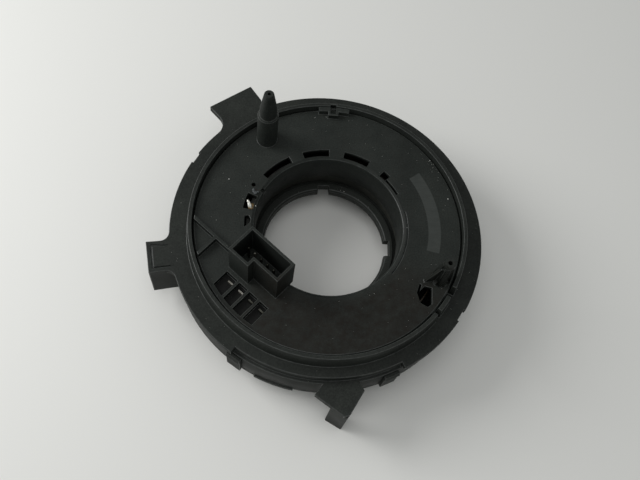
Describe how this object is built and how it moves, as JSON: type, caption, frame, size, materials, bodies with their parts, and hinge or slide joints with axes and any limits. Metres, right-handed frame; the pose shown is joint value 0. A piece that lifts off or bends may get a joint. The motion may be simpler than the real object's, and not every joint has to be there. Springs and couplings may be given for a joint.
{
  "type": "steering clock spring",
  "caption": "Round clock spring with a wide bore, a turning plate with two drive posts and a tall connector socket, and a lugged housing round a spiral ribbon.",
  "frame": {"origin": "centre of the bore at the back face of the rear cover", "axes": "+Z along the bore axis, out of the face that the steering wheel sits on; +X towards the side opposite the box-shaped side lug"},
  "size_m": [0.1069, 0.112, 0.0538],
  "materials": {
    "stator_housing": "smooth moulded black",
    "rear_cover": "smooth moulded black",
    "column_connector": "smooth moulded black",
    "rotor_plate": "smooth moulded black",
    "hub_ring": "smooth moulded black",
    "ribbon_cable": "satin polyester tape",
    "ribbon_inner_carrier": "matte",
    "ribbon_outer_carrier": "matte",
    "contact_leaf": "tarnished",
    "tinned_pin": "tinned",
    "blade": "plain"
  },
  "bodies": {
    "stator": {"stator_housing": "stator_housing", "rear_cover": "rear_cover", "column_connector": "column_connector", "column_pin_1": "tinned_pin", "column_pin_2": "tinned_pin", "column_pin_3": "tinned_pin", "column_pin_4": "tinned_pin", "column_pin_5": "tinned_pin", "ribbon_outer_carrier": "ribbon_outer_carrier", "ribbon_cable": "ribbon_cable"},
    "rotor": {"rotor_plate": "rotor_plate", "hub_ring": "hub_ring", "ribbon_inner_carrier": "ribbon_inner_carrier", "contact_leaf": "contact_leaf", "wheel_pin_1": "tinned_pin", "wheel_pin_2": "tinned_pin", "wheel_pin_3": "tinned_pin", "wheel_pin_4": "tinned_pin", "wheel_pin_5": "tinned_pin", "wheel_pin_6": "tinned_pin", "comb_blade_1": "blade", "comb_blade_2": "blade", "comb_blade_3": "blade", "comb_blade_4": "blade"}
  },
  "joints": [
    {"name": "rotor_turn", "type": "hinge", "parent": "stator", "child": "rotor", "pos_m": [0, 0, 0], "axis": [0, 0, 1], "range_deg": [-900, 900], "deforming": ["ribbon_cable"]}
  ]
}
